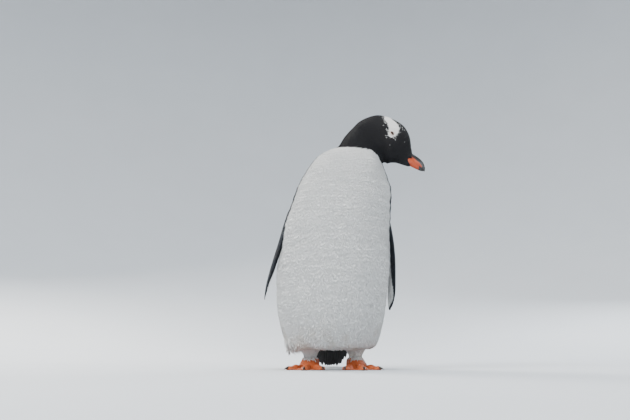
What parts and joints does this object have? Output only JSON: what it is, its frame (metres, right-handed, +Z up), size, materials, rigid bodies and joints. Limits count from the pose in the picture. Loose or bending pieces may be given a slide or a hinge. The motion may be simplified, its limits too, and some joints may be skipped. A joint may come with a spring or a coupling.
{
  "type": "gentoo penguin",
  "caption": "Life-size still gentoo penguin standing upright, head turned to its left and bill lowered, flippers at its sides, webbed feet flat and tail tip on the floor.",
  "frame": {"origin": "centre of the bounding box in plan, at the level of the soles", "axes": "+Z up, -Y the way the breast faces, +X the bird's own left and the way its head is turned"},
  "size_m": [0.3511, 0.31, 0.5504],
  "materials": {
    "white_feathers": "matt white feathers on the trunk and legs; the trunk's back is slate black",
    "dark_feathers": "matt black feathers on the head and neck, with a white patch over each eye",
    "flipper_feathers": "short scale-like feathers, slate black outside and white inside",
    "tail_feathers": "long stiff black feathers with a slight sheen",
    "bill": "smooth horn, orange red with a black ridge and tip",
    "eye": "wet dark brown eye with a black pupil",
    "foot_skin": "scaly orange-pink skin with a dark sole",
    "claw": "smooth black-brown horn"
  },
  "bodies": {
    "root": {"trunk": "white_feathers", "neck": "dark_feathers", "head": "dark_feathers", "bill_upper": "bill", "bill_lower": "bill", "eye_left": "eye", "eye_right": "eye", "flipper_left": "flipper_feathers", "flipper_right": "flipper_feathers", "leg_left": "white_feathers", "leg_right": "white_feathers", "foot_left": "foot_skin", "foot_right": "foot_skin", "claw_inner_left": "claw", "claw_middle_left": "claw", "claw_outer_left": "claw", "claw_hind_left": "claw", "claw_inner_right": "claw", "claw_middle_right": "claw", "claw_outer_right": "claw", "claw_hind_right": "claw", "tail": "tail_feathers"}
  },
  "joints": []
}
